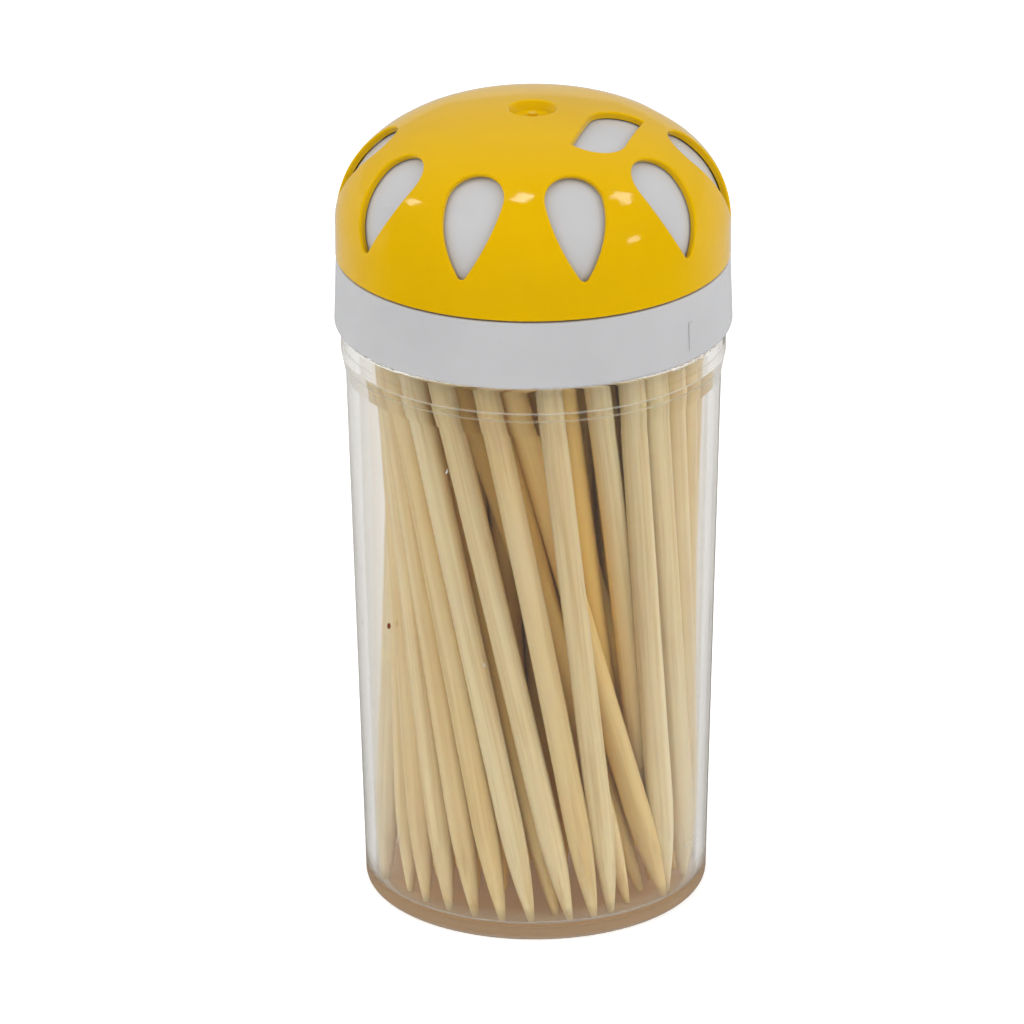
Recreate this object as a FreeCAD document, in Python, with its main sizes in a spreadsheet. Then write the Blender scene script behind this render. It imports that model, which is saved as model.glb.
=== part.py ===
import FreeCAD, Part
import Sketcher
import math
import os
import re

from FreeCAD import Placement, Rotation, Vector

# A round toothpick dispenser. A clear cup holds the toothpicks. A white cap with a domed roof pushes
# onto the neck of the cup. A yellow domed shell is pinned to the roof and turns on it, which brings
# the leaf-shaped opening of the shell over the hole in the roof, or away from it.
#
# +Z is up and the axis of the cup is the Z axis. The origin is the middle of the cup's foot.
# An azimuth is counted from the front, which is -Y, towards +X.

SIZES = {
    # clear cup
    "neck_radius": 16.60,         # outside: every other width of the cup, cap and shell follows from it
    "neck_height": 5.50,          # above the stop bead
    "mouth_step": 0.10,           # by which the wall is wider than the neck, under the bead's shoulder
    "cup_taper": 1.25,            # by which the foot is narrower than that, on the radius
    "cup_wall": 0.90,
    "cup_floor": 1.50,
    "cup_corner": 0.90,           # rounding of the foot's outer edge
    "cup_inside_corner": 0.40,
    "foot_recess": 0.30,          # how far the underside is hollowed inside the foot ring
    "foot_ring": 1.80,            # width of that ring
    "bead_step": 0.53,            # by which the stop bead is wider than the neck, on the radius
    "bead_height": 2.30,
    "bead_shoulder": 2.20,        # height of the slope from the wall out to the bead
    "bead_rounding": 0.35,
    # white cap
    "seat_gap": 0.15,             # between faces that rest on each other
    "push_gap": 0.05,             # between the neck and the collar, on the radius
    "collar_wall": 1.03,          # at the collar's foot
    "collar_draft": 0.21,         # by which the collar's top is narrower than its foot, on the radius
    "collar_rounding": 0.30,
    "ledge_wall": 0.65,           # height of the ledge that joins the collar to the roof
    "dome_wall": 0.70,
    "mark_height": 2.60,          # raised mark on the collar
    "mark_width": 0.45,
    "mark_proud": 0.12,
    "mark_azimuth": 51.0,
    # yellow shell
    "turn_gap": 0.12,             # between the shell and the roof under it
    "rim_step": 0.03,             # by which the shell is wider than the collar's top, on the radius
    "shell_wall": 0.60,
    "shell_skirt": 3.05,          # upright part of the wall above the rim
    "shoulder_radius": 8.40,
    "shoulder_angle": 45.0,       # how far the shoulder's arc turns, from upright
    "brow_radius": 13.40,         # of the arc between the shoulder and the crown
    "brow_angle": 78.0,           # how far the brow's arc turns, from upright
    "recess_margin": 0.25,        # by which the flat of the recess is narrower than the pin, on the radius
    "recess_slope": 0.50,         # width of the recess's sloping side
    "recess_depth": 0.80,
    "nub_radius": 0.40,
    "nub_height": 0.30,
    "edge_rounding": 0.18,        # of the windows, the opening and the rim
    # windows
    "window_azimuth": -21.3,      # of the first window
    "window_width": 5.20,
    "window_rise": 9.40,          # from tip to round end, along the slope
    "window_side_radius": 11.0,
    "window_tip_rounding": 0.50,
    "window_tip_height": 3.60,    # of the tip, above the rim
    "window_tilt": 36.4,          # of the direction that the windows are cut in, above level
    # dispensing opening, a leaf that fills the room between the recess and the windows
    "leaf_azimuth": 59.8,
    "recess_bridge": 2.49,        # between the recess and the leaf, seen from above
    "window_bridge": 1.482,       # between the leaf and the windows' round ends, seen from above
    "leaf_spread": 1.79,          # of the centres of its two round shoulders, from its middle
    "leaf_slant": -12.8,          # of its long axis, from square to the radius
    "hole_margin": 0.30,          # by which the roof's round hole is wider than the leaf, on the radius
    "closing_turn": 180.0,        # from where the leaf lies over the hole to where the roof closes it
    # pivot
    "pin_radius": 1.90,
    "pin_gap": 0.06,              # between the pin and its bore, on the radius
    "hub_wall": 1.44,             # round the bore
    "hub_depth": 0.70,            # below the underside of the roof
    "barb_step": 0.42,            # by which the barb is wider than the pin, on the radius
    "barb_height": 1.30,
    "pin_slot": 0.70,             # width of the slots that split the pin
    # toothpicks
    "pick_length": 65.0,          # the height of the cup follows from it
    "pick_proud": 12.75,          # how far an upright toothpick stands above the stop bead
    "pick_radius": 1.13,
    "pick_tip_radius": 0.22,
    "pick_lift": 0.05,            # of the lower points above the floor
    "pick_taper": 10.0,           # length of each point
    "pick_gap": 0.03,             # left free round each toothpick
    "pick_lean": 16.0,            # lean that the room left round each toothpick allows for
    "pick_fill": 0.60,            # share of the cup's section that the toothpicks take up
}

WINDOW_COUNT = 10

# Toothpicks along the front of the cup, from the left: the azimuth of the lower point and how many rows
# it stands behind the wall, then the same where the toothpick passes the stop bead.
FRONT_PICKS = [
    (-100.1, 0.08, -138.7, 0.17), (-84.1, 0.02, -128.8, 0.26), (-69.8, 0.09, -118.8, 0.34),
    (-56.5, 0.35, -108.2, 0.42), (-44.9, 0.22, -97.5, 0.42), (-33.6, 0.16, -86.3, 0.41),
    (-22.7, 0.09, -75.0, 0.40), (-12.3, 0.00, -63.4, 0.37), (-1.9, 0.00, -51.6, 0.35),
    (7.8, 0.60, -61.2, 1.43), (12.1, 0.01, -36.8, 0.33), (21.0, 0.01, -18.7, 0.18),
    (38.5, 0.57, -23.1, 1.51), (28.6, 0.20, 4.4, 0.06), (51.5, 0.94, -42.2, 1.59),
    (52.2, 0.00, -11.5, 1.08), (77.0, 0.65, -5.4, 2.90), (65.4, 2.17, 11.3, 1.17),
    (64.6, 1.17, 21.9, 0.56), (56.9, 0.22, 34.4, 0.05), (72.6, 0.18, 44.3, 0.06),
    (84.2, 0.15, 54.0, 0.08), (95.2, 0.14, 63.8, 0.08), (106.2, 0.13, 73.9, 0.09),
    (117.2, 0.12, 83.9, 0.10),
]
FRONT_GIVE = 0.1                  # how readily these move aside, next to the other toothpicks
SEPARATE_PICKS = 50               # toothpicks that are sub-parts of their own, from the wall inwards
INNER_GROUPS = 4                  # groups that the other toothpicks are in
INNER_TWIST = 32.0                # degrees from the lower to the upper end of the inner toothpicks
INNER_START = 1.2                 # least distance at which they start from the others, in radii
WALL_PITCH = 1.12                 # distance between toothpicks at the wall, in toothpick diameters
SETTLING_ROUNDS = 300

doc = FreeCAD.newDocument("toothpick_dispenser")

sheet = doc.addObject("Spreadsheet::Sheet", "sizes")
for row, (alias, amount) in enumerate(SIZES.items(), start=1):
    sheet.set(f"A{row}", alias.replace("_", " "))
    sheet.set(f"B{row}", str(amount))
    sheet.setAlias(f"B{row}", alias)
doc.recompute()


def named(text):
    """The expression with every size written as a cell of the sheet."""
    return re.sub(r"[a-z]+(?:_[a-z]+)+", lambda word: "sizes." + word.group(0), text)


def size(text):
    """The present value of an expression of sizes, in millimetres or degrees."""
    return float(sheet.evalExpression(named(text)))


# Sizes that follow from others, each an expression of the sheet's.
SEAT = "(cup_floor + pick_lift + pick_length - pick_proud)"
BEAD_FOOT = f"({SEAT} - bead_height)"
NECK_TOP = f"({SEAT} + neck_height)"
MOUTH_RADIUS = "(neck_radius + mouth_step)"
FOOT_RADIUS = f"({MOUTH_RADIUS} - cup_taper)"
BEAD_RADIUS = "(neck_radius + bead_step)"
CUP_BORE = "(neck_radius - cup_wall)"
COLLAR_FOOT = f"({SEAT} + seat_gap)"
COLLAR_BORE = "(neck_radius + push_gap)"
COLLAR_RADIUS = f"({COLLAR_BORE} + collar_wall)"
COLLAR_TOP_RADIUS = f"({COLLAR_RADIUS} - collar_draft)"
LEDGE_FOOT = f"({NECK_TOP} + seat_gap)"
LEDGE = f"({LEDGE_FOOT} + ledge_wall)"
SHELL_RIM = f"({LEDGE} + seat_gap)"
SHELL_RADIUS = f"({COLLAR_TOP_RADIUS} + rim_step)"
DOME_INSET = "(shell_wall + turn_gap)"
ROOF_INSET = f"({DOME_INSET} + dome_wall)"
SHOULDER_X = f"({SHELL_RADIUS} - shoulder_radius)"
SHOULDER_Z = f"({SHELL_RIM} + shell_skirt)"
BROW_X = f"({SHOULDER_X} + (shoulder_radius - brow_radius) * cos(shoulder_angle))"
BROW_Z = f"({SHOULDER_Z} + (shoulder_radius - brow_radius) * sin(shoulder_angle))"
CROWN_RADIUS = f"(brow_radius + {BROW_X} / cos(brow_angle))"
CROWN_Z = f"({BROW_Z} - {BROW_X} * tan(brow_angle))"
APEX = f"({CROWN_Z} + {CROWN_RADIUS})"
RECESS_FOOT_RADIUS = "(pin_radius - recess_margin)"
RECESS_RADIUS = f"({RECESS_FOOT_RADIUS} + recess_slope)"
LEAF_EDGE = f"({RECESS_RADIUS} + recess_bridge)"
LEAF_FAR_EDGE = f"({SHELL_RADIUS} - window_rise * sin(window_tilt) - window_bridge)"
LEAF_DISTANCE = f"(({LEAF_EDGE} + {LEAF_FAR_EDGE}) / 2)"
LEAF_ROUNDING = f"(({LEAF_FAR_EDGE} - {LEAF_EDGE}) / 2)"
HUB_RADIUS = "(pin_radius + pin_gap + hub_wall)"
HUB_FOOT = f"({APEX} - {ROOF_INSET} - hub_depth)"
BARB_TOP = f"({HUB_FOOT} - seat_gap)"
BARB_FOOT = f"({BARB_TOP} - barb_height)"


class Outline:
    """A closed chain of lines and arcs in a sketch, whose corners are expressions of the sizes."""

    def __init__(self, body, name, plane="XZ_Plane"):
        if body:
            origin = next(item for item in body.Origin.OriginFeatures if item.Role == plane)
            self.sketch = body.newObject("Sketcher::SketchObject", name)
            self.sketch.AttachmentSupport = [(origin, "")]
            self.sketch.MapMode = "FlatFace"
        else:
            self.sketch = doc.addObject("Sketcher::SketchObject", name)
            self.sketch.Placement = Placement(Vector(), Rotation(Vector(1, 0, 0), 90))
        self.corners = []
        self.pieces = []

    def start(self, across, up, fixed="xy"):
        """The first corner. fixed says which coordinates are constraints: the chain gives the rest."""
        self.corners.append((across if "x" in fixed else None, up if "y" in fixed else None,
                             Vector(size(across), size(up), 0)))

    def line(self, across, up, fixed="xy"):
        self.pieces.append(None)
        self.start(across, up, fixed)

    def arc(self, centre, across, up, fixed, turn=1):
        """An arc about the centre to the next corner, anticlockwise, or clockwise with turn -1."""
        self.pieces.append((centre, turn, centre))
        self.start(across, up, fixed)

    def pin_point(self, item, point, across, up):
        for kind, axis, text in (("DistanceX", -2, across), ("DistanceY", -1, up)):
            if text == "0":
                self.sketch.addConstraint(Sketcher.Constraint("PointOnObject", item, point, axis))
            elif text:
                number = self.sketch.addConstraint(
                    Sketcher.Constraint(kind, -1, 1, item, point, size(text)))
                self.sketch.setExpression(f"Constraints[{number}]", named(text))

    def draw(self, piece, first, second):
        """Adds one piece, and returns its number and the numbers of its first and last point."""
        if piece is None:
            return self.sketch.addGeometry(Part.LineSegment(first, second), False), 1, 2
        (across, up), turn, _ = piece
        centre = Vector(size(across), size(up), 0)
        low, high = (first, second) if turn > 0 else (second, first)
        angles = [math.atan2(end.y - centre.y, end.x - centre.x) for end in (low, high)]
        if angles[1] < angles[0]:
            angles[1] += 2 * math.pi
        circle = Part.Circle(centre, Vector(0, 0, 1), (first - centre).Length)
        number = self.sketch.addGeometry(Part.ArcOfCircle(circle, *angles), False)
        return (number, 1, 2) if turn > 0 else (number, 2, 1)

    def close(self, centre=None, turn=1, level_only=False):
        """Closes the chain with a line, or with an arc about the centre.

        With level_only, just the centre's height is a constraint, because the ends give the rest."""
        pinned = (None, centre[1]) if level_only else centre
        self.pieces.append((centre, turn, pinned) if centre else None)
        count = len(self.corners)
        drawn = [self.draw(piece, self.corners[place][2], self.corners[(place + 1) % count][2])
                 for place, piece in enumerate(self.pieces)]
        for place, (number, first, last) in enumerate(drawn):
            following, entry, _ = drawn[(place + 1) % count]
            self.sketch.addConstraint(Sketcher.Constraint("Coincident", number, last, following, entry))
        for (number, first, _), (across, up, _), piece in zip(drawn, self.corners, self.pieces):
            self.pin_point(number, first, across, up)
            if piece:
                self.pin_point(number, 3, *piece[2])
        return self.sketch

    def circle(self, radius):
        """A circle about the sketch's origin instead of a chain."""
        number = self.sketch.addGeometry(Part.Circle(Vector(), Vector(0, 0, 1), size(radius)), False)
        self.sketch.addConstraint(Sketcher.Constraint("Coincident", number, 3, -1, 1))
        bound = self.sketch.addConstraint(Sketcher.Constraint("Radius", number, size(radius)))
        self.sketch.setExpression(f"Constraints[{bound}]", named(radius))
        return self.sketch


def new_body(label):
    body = doc.addObject("PartDesign::Body", label)
    body.Label = label
    return body


def revolve(body, sketch, name):
    feature = body.newObject("PartDesign::Revolution", name)
    feature.Profile = sketch
    feature.ReferenceAxis = (sketch, ["V_Axis"])
    feature.Angle = 360
    doc.recompute()
    return feature


def cut(body, sketch, name, length, both_ways=False, reverse=False):
    """Cuts the sketch's outline out of the body and makes sure that something was cut."""
    before = body.Tip.Shape.Volume
    feature = body.newObject("PartDesign::Pocket", name)
    feature.Profile = sketch
    feature.setExpression("Length", named(length))
    feature.Midplane = both_ways
    feature.Reversed = reverse
    doc.recompute()
    if feature.Shape.Volume > before - 1e-3:
        raise RuntimeError(f"{name} cuts nothing")
    return feature


def repeat_around(body, feature, name, count, angle=360):
    """Repeats the feature round the Z axis."""
    pattern = body.newObject("PartDesign::PolarPattern", name)
    pattern.Originals = [feature]
    pattern.Axis = (next(item for item in body.Origin.OriginFeatures if item.Role == "Z_Axis"), [""])
    pattern.Angle = angle
    pattern.Occurrences = count
    body.Tip = pattern
    doc.recompute()
    return pattern


def round_edges(body, name, radius, wanted):
    """Rounds the edges of the body's last feature that the test picks out."""
    base = body.Tip
    edges = [f"Edge{number}" for number, edge in enumerate(base.Shape.Edges, start=1) if wanted(edge)]
    fillet = body.newObject("PartDesign::Fillet", name)
    fillet.Base = (base, edges)
    fillet.setExpression("Radius", named(radius))
    doc.recompute()
    return fillet


def is_ring(edge, radius, height):
    """Whether the edge is a circle round the Z axis with this radius and height."""
    curve = edge.Curve
    return (isinstance(curve, Part.Circle) and abs(curve.Radius - size(radius)) < 1e-3
            and abs(curve.Center.z - size(height)) < 1e-3)


# ---- clear cup ---------------------------------------------------------------------------------

def make_cup():
    body = new_body("clear_cup")
    foot_inside = f"({FOOT_RADIUS} - cup_wall)"
    outline = Outline(body, "cup_section")
    outline.start("0", "foot_recess")
    outline.line(f"{FOOT_RADIUS} - foot_ring - foot_recess", "foot_recess")
    outline.line(f"{FOOT_RADIUS} - foot_ring", "0")
    outline.line(f"{FOOT_RADIUS} - cup_corner", "0")
    outline.arc((f"{FOOT_RADIUS} - cup_corner", "cup_corner"), FOOT_RADIUS, "cup_corner", "y")
    outline.line(MOUTH_RADIUS, f"{BEAD_FOOT} - bead_shoulder")
    outline.line(BEAD_RADIUS, BEAD_FOOT)
    outline.line(BEAD_RADIUS, f"{SEAT} - bead_rounding")
    outline.arc((f"{BEAD_RADIUS} - bead_rounding", f"{SEAT} - bead_rounding"),
                f"{BEAD_RADIUS} - bead_rounding", SEAT, "x")
    outline.line("neck_radius", SEAT)
    outline.line("neck_radius", NECK_TOP)
    outline.line(CUP_BORE, NECK_TOP)
    outline.line(CUP_BORE, SEAT)
    outline.line(foot_inside, "cup_floor + cup_inside_corner")
    outline.arc((f"{foot_inside} - cup_inside_corner", "cup_floor + cup_inside_corner"),
                f"{foot_inside} - cup_inside_corner", "cup_floor", "x", turn=-1)
    outline.line("0", "cup_floor")
    revolve(body, outline.close(), "cup_turned")
    round_edges(body, "bead_foot_rounded", "bead_rounding",
                lambda edge: is_ring(edge, BEAD_RADIUS, BEAD_FOOT))
    round_edges(body, "lip_rounded", "cup_wall / 3",
                lambda edge: is_ring(edge, "neck_radius", NECK_TOP) or is_ring(edge, CUP_BORE, NECK_TOP))
    return body


# ---- domed roofs -------------------------------------------------------------------------------

def crown_height(inset, across):
    """Height of the crown, set in from the outside of the shell, at a distance from the axis."""
    return f"({CROWN_Z} + sqrt(({CROWN_RADIUS} - {inset}) ^ 2 - ({across}) ^ 2))"


def dome_joint(centre_x, centre_z, radius, angle, inset):
    """Corner where one arc of the dome runs on into the next."""
    reach = f"({radius} - {inset})"
    return f"{centre_x} + {reach} * cos({angle})", f"{centre_z} + {reach} * sin({angle})"


def shoulder_end(inset):
    return dome_joint(SHOULDER_X, SHOULDER_Z, "shoulder_radius", "shoulder_angle", inset)


def brow_end(inset):
    return dome_joint(BROW_X, BROW_Z, "brow_radius", "brow_angle", inset)


def dome_up(outline, inset, across):
    """The dome's arcs from its upright wall to a corner on the crown, this far from the axis."""
    outline.arc((SHOULDER_X, SHOULDER_Z), *shoulder_end(inset), "y")
    outline.arc((BROW_X, BROW_Z), *brow_end(inset), "y")
    outline.arc(("0", CROWN_Z), across, crown_height(inset, across), "x")


def dome_down(outline, inset):
    """The dome's arcs from a corner on the crown back to its upright wall."""
    outline.arc(("0", CROWN_Z), *brow_end(inset), "x", turn=-1)
    outline.arc((BROW_X, BROW_Z), *shoulder_end(inset), "x", turn=-1)
    outline.arc((SHOULDER_X, SHOULDER_Z), f"{SHELL_RADIUS} - {inset}", SHOULDER_Z, "y", turn=-1)


def lift_over_crown(sketch, azimuth, turned):
    """Moves a sketch of the level plane over the crown, where the leaf is at this azimuth."""
    sketch.AttachmentOffset = Placement(Vector(), Rotation(Vector(0, 0, 1), 0))
    for path, text in (("Base.x", f"{LEAF_DISTANCE} * sin({azimuth})"),
                       ("Base.y", f"-{LEAF_DISTANCE} * cos({azimuth})"),
                       ("Base.z", APEX),
                       ("Rotation.Angle", turned)):
        sketch.setExpression(f"AttachmentOffset.{path}", named(text))
    doc.recompute()
    return sketch


def leaf_outline(body):
    """A leaf with two points and two round shoulders, seen from above."""
    tip = f"(leaf_spread + {LEAF_ROUNDING})"
    reach = f"({tip} + leaf_spread)"
    touch_x = f"(leaf_spread - {LEAF_ROUNDING} ^ 2 / {reach})"
    touch_y = f"({LEAF_ROUNDING} * sqrt({reach} ^ 2 - {LEAF_ROUNDING} ^ 2) / {reach})"
    outline = Outline(body, "leaf_outline", "XY_Plane")
    outline.start(f"-{tip}", "0")
    outline.line(touch_x, touch_y)
    outline.arc(("leaf_spread", "0"), tip, "0", "y", turn=-1)
    outline.line(f"-{touch_x}", f"-{touch_y}", "x")
    sketch = outline.close(("-leaf_spread", "0"), turn=-1)
    return lift_over_crown(sketch, "leaf_azimuth", "leaf_azimuth + leaf_slant")


# ---- white cap ---------------------------------------------------------------------------------

def make_cap():
    body = new_body("white_cap")
    hub_bore = "(pin_radius + pin_gap)"
    outline = Outline(body, "cap_section")
    outline.start(COLLAR_BORE, COLLAR_FOOT)
    outline.line(COLLAR_RADIUS, COLLAR_FOOT)
    outline.line(COLLAR_TOP_RADIUS, LEDGE)
    outline.line(f"{SHELL_RADIUS} - {DOME_INSET}", LEDGE)
    outline.line(f"{SHELL_RADIUS} - {DOME_INSET}", SHOULDER_Z)
    dome_up(outline, DOME_INSET, hub_bore)
    outline.line(hub_bore, HUB_FOOT)
    outline.line(HUB_RADIUS, HUB_FOOT)
    outline.line(HUB_RADIUS, crown_height(ROOF_INSET, HUB_RADIUS))
    dome_down(outline, ROOF_INSET)
    outline.line(f"{SHELL_RADIUS} - {ROOF_INSET}", LEDGE_FOOT)
    outline.line(COLLAR_BORE, LEDGE_FOOT)
    revolve(body, outline.close(), "cap_turned")
    round_edges(body, "collar_rounded", "collar_rounding",
                lambda edge: is_ring(edge, COLLAR_RADIUS, COLLAR_FOOT))
    round_edges(body, "ledge_rounded", "collar_rounding / 2",
                lambda edge: is_ring(edge, COLLAR_TOP_RADIUS, LEDGE))
    hole = Outline(body, "hole_outline", "XY_Plane").circle(f"{LEAF_ROUNDING} + hole_margin")
    lift_over_crown(hole, "(leaf_azimuth + closing_turn)", "0")
    cut(body, hole, "dispensing_hole", f"{ROOF_INSET} + hub_depth + {LEAF_DISTANCE} / 2")
    mark = body.newObject("PartDesign::AdditiveBox", "collar_mark")
    reach = f"(({COLLAR_RADIUS} + {COLLAR_TOP_RADIUS}) / 2 + mark_proud)"
    around = "rotation(vector(0; 0; 1); mark_azimuth)"
    corner = f"vector(-mark_width / 2; -{reach}; ({COLLAR_FOOT} + {LEDGE}) / 2 - mark_height * 0.75)"
    for path, text in (("Length", "mark_width"), ("Width", "collar_wall"), ("Height", "mark_height"),
                       ("Placement", f"placement({around} * {corner}; {around})")):
        mark.setExpression(path, named(text))
    doc.recompute()
    return body


# ---- yellow shell ------------------------------------------------------------------------------

def window_outline(body):
    """A drop, point down, on a plane that leans against the shoulder of the dome at the front."""
    tip = "window_tip_rounding"
    rounding = "(window_width / 2)"
    middle = f"(window_rise - {rounding})"
    side = "window_side_radius"
    side_y = (f"((({rounding} - {tip}) * (2 * {side} - {tip} - {rounding}) / ({middle} - {tip})"
              f" + {tip} + {middle}) / 2)")
    side_x = f"sqrt(({side} - {tip}) ^ 2 - ({side_y} - {tip}) ^ 2)"
    low_x = f"{tip} * {side_x} / ({side} - {tip})"
    low_y = f"{tip} + {tip} * ({tip} - {side_y}) / ({side} - {tip})"
    high_x = f"{rounding} * {side_x} / ({side} - {rounding})"
    high_y = f"{middle} + {rounding} * ({middle} - {side_y}) / ({side} - {rounding})"
    outline = Outline(body, "window_outline")
    outline.start(low_x, low_y)
    outline.arc((f"-{side_x}", side_y), high_x, high_y, "y")
    outline.arc(("0", middle), f"-{high_x}", high_y, "y")
    outline.arc((side_x, side_y), f"-{low_x}", low_y, "y")
    sketch = outline.close(("0", tip), level_only=True)
    place = (f"vector({SHELL_RADIUS} * sin(window_azimuth); {SHELL_RIM} + window_tip_height;"
             f" {SHELL_RADIUS} * cos(window_azimuth))")
    around = "rotation(vector(0; 1; 0); window_azimuth)"
    lean = "rotation(vector(1; 0; 0); -window_tilt)"
    sketch.setExpression("AttachmentOffset", named(f"placement({place}; {around} * {lean})"))
    doc.recompute()
    return sketch


def make_shell():
    body = new_body("yellow_shell")
    recess_floor = f"({APEX} - recess_depth)"
    outline = Outline(body, "shell_section")
    outline.start(f"{SHELL_RADIUS} - shell_wall", SHELL_RIM)
    outline.line(SHELL_RADIUS, SHELL_RIM)
    outline.line(SHELL_RADIUS, SHOULDER_Z)
    dome_up(outline, "0", RECESS_RADIUS)
    outline.line(RECESS_FOOT_RADIUS, recess_floor)
    outline.line("nub_radius", recess_floor)
    outline.line("nub_radius", f"{recess_floor} + nub_height")
    outline.line("0", f"{recess_floor} + nub_height")
    outline.line("0", BARB_FOOT)
    outline.line("pin_radius - barb_step", BARB_FOOT)
    outline.line("pin_radius + barb_step", BARB_TOP)
    outline.line("pin_radius", BARB_TOP)
    outline.line("pin_radius", crown_height("shell_wall", "pin_radius"))
    dome_down(outline, "shell_wall")
    revolve(body, outline.close(), "shell_turned")
    window = cut(body, window_outline(body), "window", "window_width * 2", both_ways=True)
    repeat_around(body, window, "windows", WINDOW_COUNT)
    cut(body, leaf_outline(body), "leaf_opening", f"shell_wall + {LEAF_DISTANCE} / 2")
    round_edges(body, "openings_rounded", "edge_rounding", OutsideOfDome().carries)
    round_edges(body, "rim_rounded", "edge_rounding",
                lambda edge: is_ring(edge, SHELL_RADIUS, SHELL_RIM))
    round_edges(body, "recess_rounded", "recess_slope / 2",
                lambda edge: is_ring(edge, RECESS_RADIUS, crown_height("0", RECESS_RADIUS)))
    half_length, half_width = "(pin_radius + 2 * barb_step)", "(pin_slot / 2)"
    outline = Outline(body, "slot_outline", "XY_Plane")
    outline.start(f"-{half_length}", f"-{half_width}")
    outline.line(half_length, f"-{half_width}")
    outline.line(half_length, half_width)
    outline.line(f"-{half_length}", half_width)
    sketch = outline.close()
    sketch.setExpression("AttachmentOffset.Base.z", named(BARB_FOOT))
    slot_length = f"{APEX} - shell_wall - pin_slot - {BARB_FOOT}"
    slot = cut(body, sketch, "pin_slot", slot_length, reverse=True)
    repeat_around(body, slot, "pin_slots", 2, angle=90)
    return body


class OutsideOfDome:
    """The outside of the shell, to tell the edges of its openings that lie on it."""

    def __init__(self):
        arcs = [(shoulder_end("0")[0], SHOULDER_X, SHOULDER_Z, "shoulder_radius"),
                (brow_end("0")[0], BROW_X, BROW_Z, "brow_radius"),
                ("0", "0", CROWN_Z, CROWN_RADIUS)]
        self.arcs = [[size(text) for text in arc] for arc in arcs]
        self.radius, self.rim, self.skirt_top = size(SHELL_RADIUS), size(SHELL_RIM), size(SHOULDER_Z)

    def has(self, point):
        reach = math.hypot(point.x, point.y)
        if point.z < self.skirt_top:
            return abs(reach - self.radius) < 1e-3 and point.z > self.rim + 1e-3
        across, up, radius = next(arc[1:] for arc in self.arcs if reach > arc[0] - 1e-6)
        return abs(math.hypot(reach - across, point.z - up) - radius) < 1e-3

    def carries(self, edge):
        """Whether the edge lies on the outside and isn't a level circle of the dome itself."""
        first, last = edge.ParameterRange
        points = [edge.valueAt(first + share * (last - first)) for share in (0.1, 0.5, 0.8)]
        level = max(point.z for point in points) - min(point.z for point in points) < 1e-4
        return not level and all(self.has(point) for point in points)


# ---- toothpicks --------------------------------------------------------------------------------

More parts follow.
